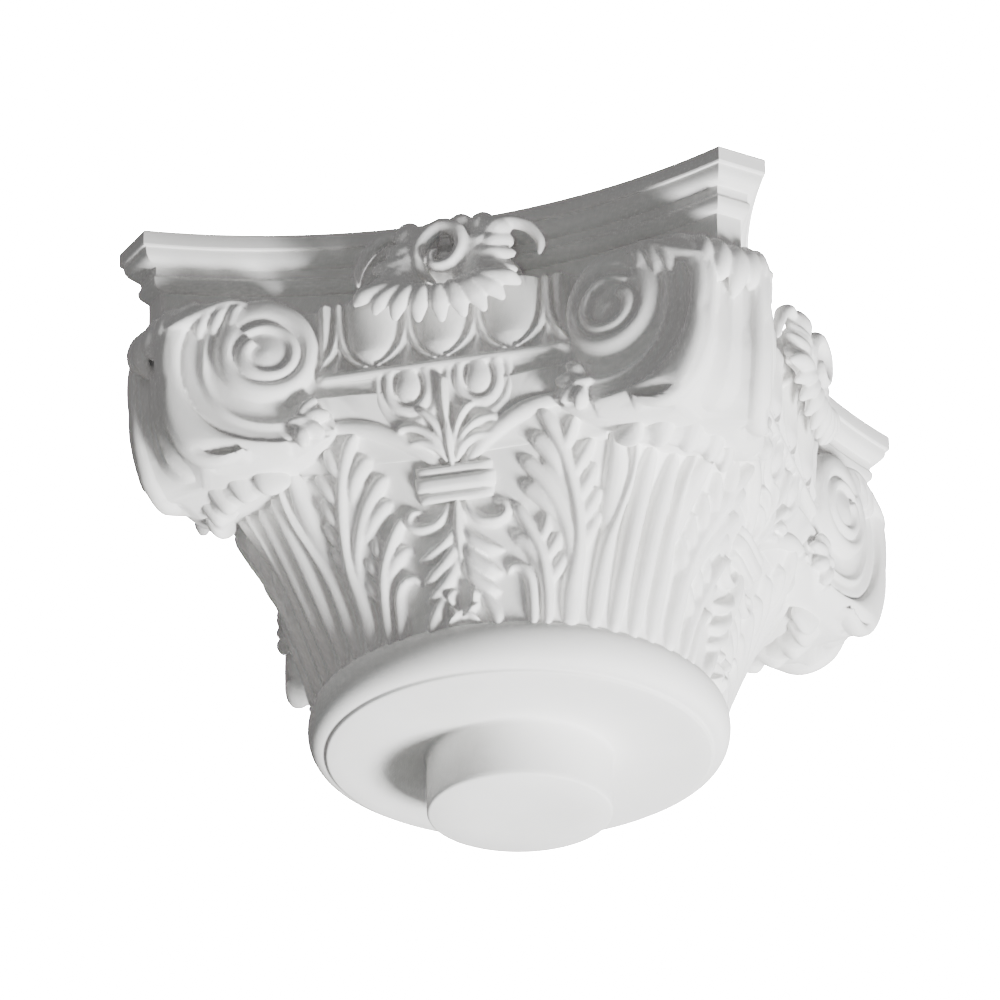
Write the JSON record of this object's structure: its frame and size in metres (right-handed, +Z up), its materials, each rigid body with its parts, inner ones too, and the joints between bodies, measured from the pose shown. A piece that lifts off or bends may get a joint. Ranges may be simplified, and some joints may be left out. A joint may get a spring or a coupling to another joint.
{
  "type": "column capital",
  "caption": "Cast plaster column capital of the Composite order: acanthus bell, egg-and-dart, diagonal volutes and a hollow-sided abacus, on a torus neck with a tenon",
  "frame": {"origin": "centre of the tenon's end face, the lowest face of the part, on the column's axis", "axes": "+Z up along the column's axis, from the tenon to the abacus; X and Y square to the abacus's sides"},
  "size_m": [0.3772, 0.3772, 0.302],
  "materials": {
    "plaster": "matte cast gypsum plaster, white"
  },
  "bodies": {
    "root": {"capital": "plaster"}
  },
  "joints": []
}
